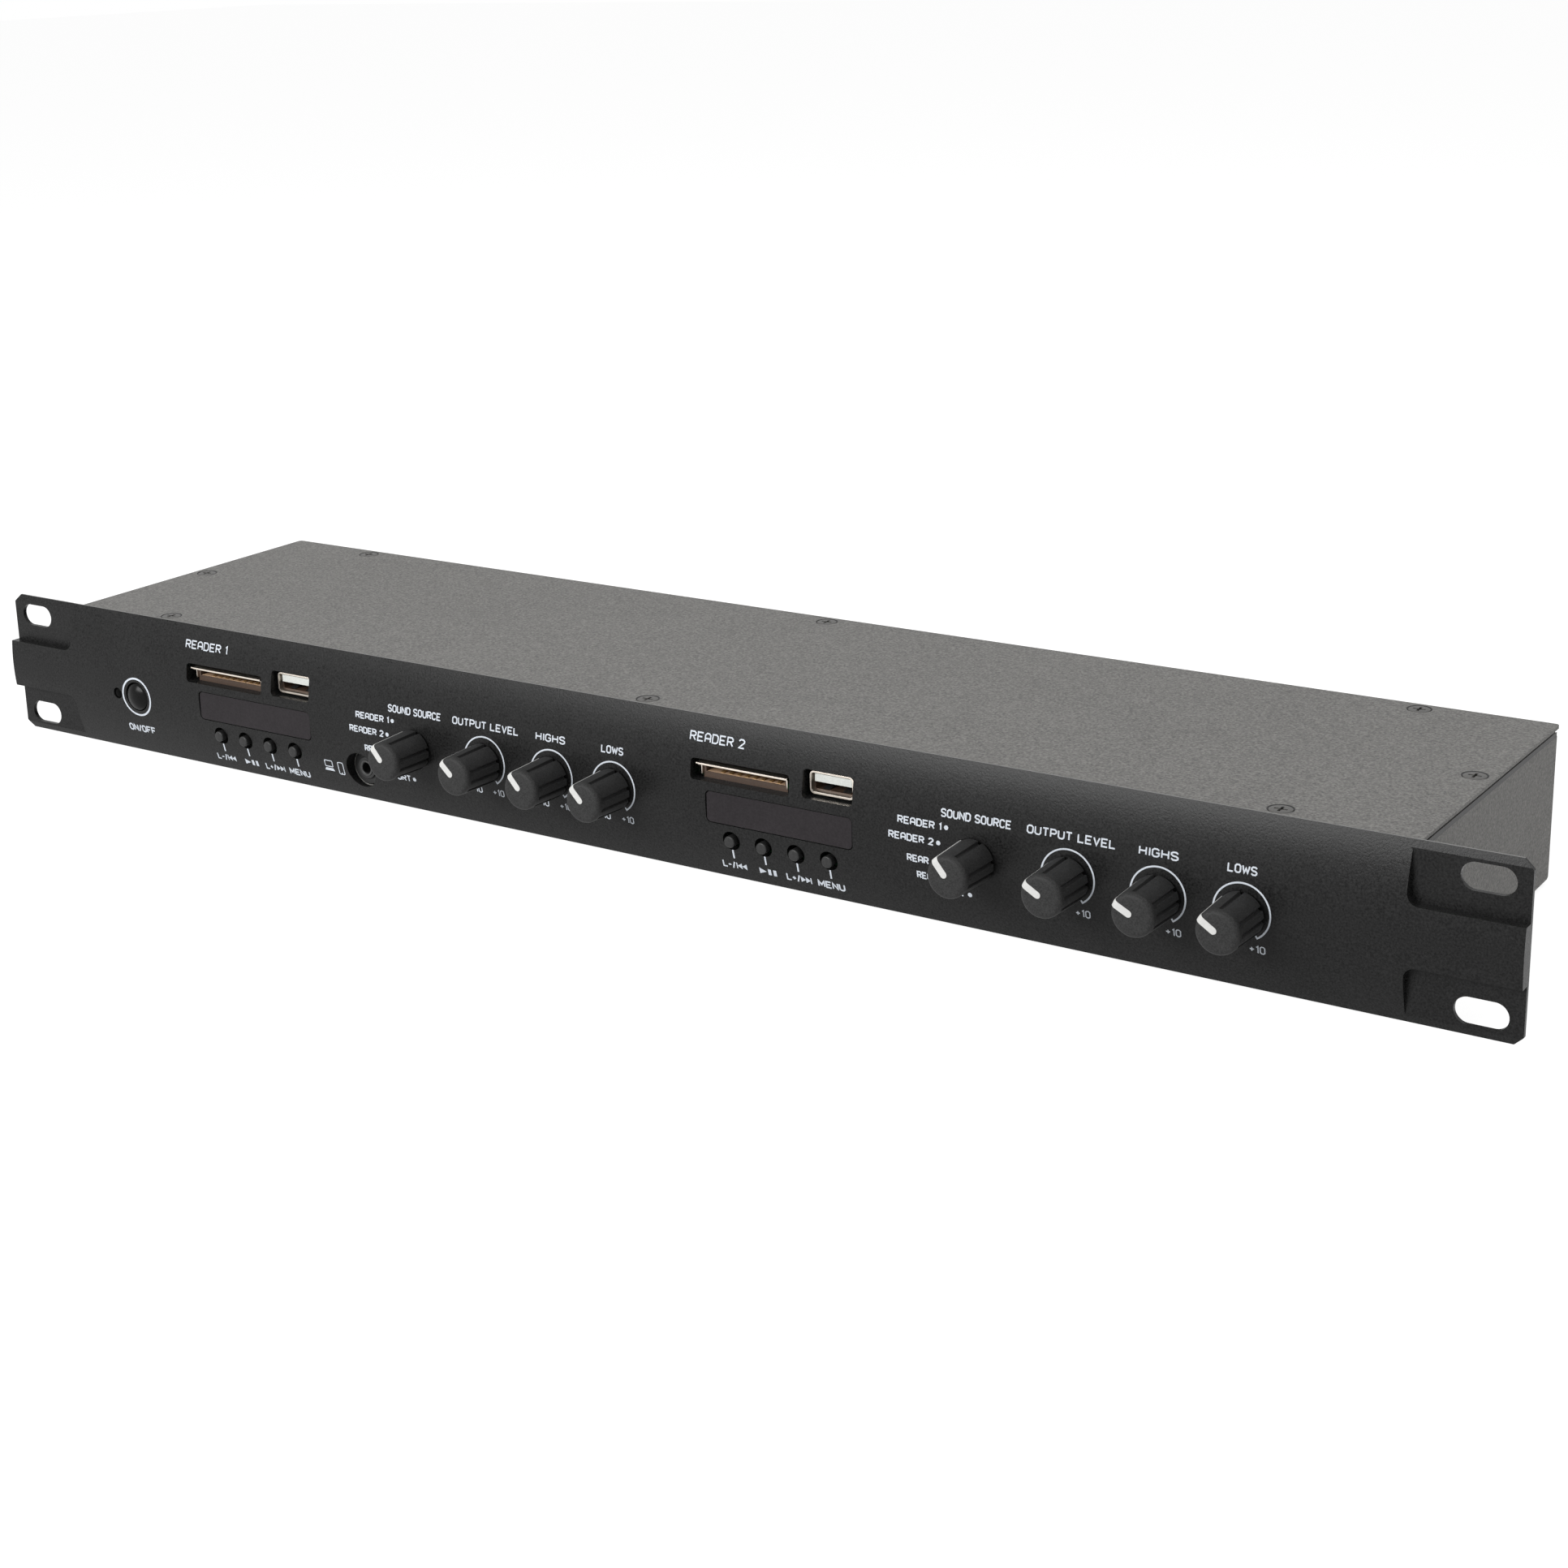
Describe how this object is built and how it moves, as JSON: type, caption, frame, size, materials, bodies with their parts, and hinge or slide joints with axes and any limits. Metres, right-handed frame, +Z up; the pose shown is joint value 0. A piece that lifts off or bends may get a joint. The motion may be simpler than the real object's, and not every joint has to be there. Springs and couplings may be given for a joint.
{
  "type": "rack media player",
  "caption": "Rack-mounted dual media player with card and USB slots, smoked displays, transport buttons and tone knobs on a crowned front panel.",
  "frame": {"origin": "middle of the bounding box's bottom, under the tray's floor", "axes": "+X right as seen from the front, +Y to the back, +Z up"},
  "size_m": [0.4826, 0.1274, 0.0436],
  "materials": {
    "panel_black": "satin black anodised",
    "case_grey": "fine-textured grey powder coat",
    "knob_black": "matte black",
    "smoked_window": "smoked, satin front",
    "bright_steel": "plated, slightly warm",
    "black_zinc": "black zinc plated",
    "black_plastic": "moulded, matte",
    "pale_plastic": "moulded, pale grey",
    "green_board": "solder resist over glass laminate",
    "grey_ribbon": "soft insulation",
    "pot_case": "plated sheet"
  },
  "bodies": {
    "unit": {"aux_jack": "black_plastic", "bass_pot_1": "pot_case", "bass_pot_2": "pot_case", "card_socket_1": "bright_steel", "card_socket_2": "bright_steel", "chassis_tray": "case_grey", "control_board_1": "green_board", "control_board_2": "green_board", "cover_screw_1": "black_zinc", "cover_screw_2": "black_zinc", "cover_screw_3": "black_zinc", "cover_screw_4": "black_zinc", "cover_screw_5": "black_zinc", "cover_screw_6": "black_zinc", "cover_screw_7": "black_zinc", "cover_screw_8": "black_zinc", "deck_board_1": "green_board", "deck_board_2": "green_board", "display_window_1": "smoked_window", "display_window_2": "smoked_window", "front_panel": "panel_black", "line_jacks_1": "black_plastic", "line_jacks_2": "black_plastic", "main_board": "green_board", "mains_inlet": "black_plastic", "output_jacks_1": "black_plastic", "output_jacks_2": "black_plastic", "pilot_light": "black_plastic", "power_supply": "green_board", "power_switch": "black_plastic", "ribbon_cable_1": "grey_ribbon", "ribbon_cable_2": "grey_ribbon", "source_switch_1": "pot_case", "source_switch_2": "pot_case", "top_cover": "case_grey", "treble_pot_1": "pot_case", "treble_pot_2": "pot_case", "usb_shell_1": "bright_steel", "usb_shell_2": "bright_steel", "usb_tongue_1": "pale_plastic", "usb_tongue_2": "pale_plastic", "volume_pot_1": "pot_case", "volume_pot_2": "pot_case"},
    "source_knob_1": {"source_knob_1": "knob_black"},
    "volume_knob_1": {"volume_knob_1": "knob_black"},
    "treble_knob_1": {"treble_knob_1": "knob_black"},
    "bass_knob_1": {"bass_knob_1": "knob_black"},
    "source_knob_2": {"source_knob_2": "knob_black"},
    "volume_knob_2": {"volume_knob_2": "knob_black"},
    "treble_knob_2": {"treble_knob_2": "knob_black"},
    "bass_knob_2": {"bass_knob_2": "knob_black"},
    "previous_button_1": {"previous_button_1": "knob_black"},
    "play_button_1": {"play_button_1": "knob_black"},
    "next_button_1": {"next_button_1": "knob_black"},
    "mode_button_1": {"mode_button_1": "knob_black"},
    "previous_button_2": {"previous_button_2": "knob_black"},
    "play_button_2": {"play_button_2": "knob_black"},
    "next_button_2": {"next_button_2": "knob_black"},
    "mode_button_2": {"mode_button_2": "knob_black"},
    "power_button": {"power_button": "knob_black"}
  },
  "joints": [
    {"name": "source_turn_1", "type": "hinge", "parent": "unit", "child": "source_knob_1", "pos_m": [-0.07401, -0.0503, 0.01955], "axis": [0, 1, 0], "range_deg": [-120, 0]},
    {"name": "volume_turn_1", "type": "hinge", "parent": "unit", "child": "volume_knob_1", "pos_m": [-0.04854, -0.0503, 0.01955], "axis": [0, 1, 0], "range_deg": [-102, 192]},
    {"name": "treble_turn_1", "type": "hinge", "parent": "unit", "child": "treble_knob_1", "pos_m": [-0.025, -0.0503, 0.01955], "axis": [0, 1, 0], "range_deg": [-105, 189]},
    {"name": "bass_turn_1", "type": "hinge", "parent": "unit", "child": "bass_knob_1", "pos_m": [-0.00399, -0.0503, 0.01955], "axis": [0, 1, 0], "range_deg": [-102, 192]},
    {"name": "source_turn_2", "type": "hinge", "parent": "unit", "child": "source_knob_2", "pos_m": [0.106, -0.0503, 0.01955], "axis": [0, 1, 0], "range_deg": [-120, 0]},
    {"name": "volume_turn_2", "type": "hinge", "parent": "unit", "child": "volume_knob_2", "pos_m": [0.13147, -0.0503, 0.01955], "axis": [0, 1, 0], "range_deg": [-87, 207]},
    {"name": "treble_turn_2", "type": "hinge", "parent": "unit", "child": "treble_knob_2", "pos_m": [0.15501, -0.0503, 0.01955], "axis": [0, 1, 0], "range_deg": [-84, 210]},
    {"name": "bass_turn_2", "type": "hinge", "parent": "unit", "child": "bass_knob_2", "pos_m": [0.17602, -0.0503, 0.01955], "axis": [0, 1, 0], "range_deg": [-87, 207]},
    {"name": "previous_button_press_1", "type": "slide", "parent": "unit", "child": "previous_button_1", "axis": [0, 1, 0], "range_m": [0, 0.0004], "stiffness_N_per_m": 200},
    {"name": "play_button_press_1", "type": "slide", "parent": "unit", "child": "play_button_1", "axis": [0, 1, 0], "range_m": [0, 0.0004], "stiffness_N_per_m": 200},
    {"name": "next_button_press_1", "type": "slide", "parent": "unit", "child": "next_button_1", "axis": [0, 1, 0], "range_m": [0, 0.0004], "stiffness_N_per_m": 200},
    {"name": "mode_button_press_1", "type": "slide", "parent": "unit", "child": "mode_button_1", "axis": [0, 1, 0], "range_m": [0, 0.0004], "stiffness_N_per_m": 200},
    {"name": "previous_button_press_2", "type": "slide", "parent": "unit", "child": "previous_button_2", "axis": [0, 1, 0], "range_m": [0, 0.0004], "stiffness_N_per_m": 200},
    {"name": "play_button_press_2", "type": "slide", "parent": "unit", "child": "play_button_2", "axis": [0, 1, 0], "range_m": [0, 0.0004], "stiffness_N_per_m": 200},
    {"name": "next_button_press_2", "type": "slide", "parent": "unit", "child": "next_button_2", "axis": [0, 1, 0], "range_m": [0, 0.0004], "stiffness_N_per_m": 200},
    {"name": "mode_button_press_2", "type": "slide", "parent": "unit", "child": "mode_button_2", "axis": [0, 1, 0], "range_m": [0, 0.0004], "stiffness_N_per_m": 200},
    {"name": "power_press", "type": "slide", "parent": "unit", "child": "power_button", "axis": [0, 1, 0], "range_m": [0, 0.0026], "stiffness_N_per_m": 250}
  ]
}
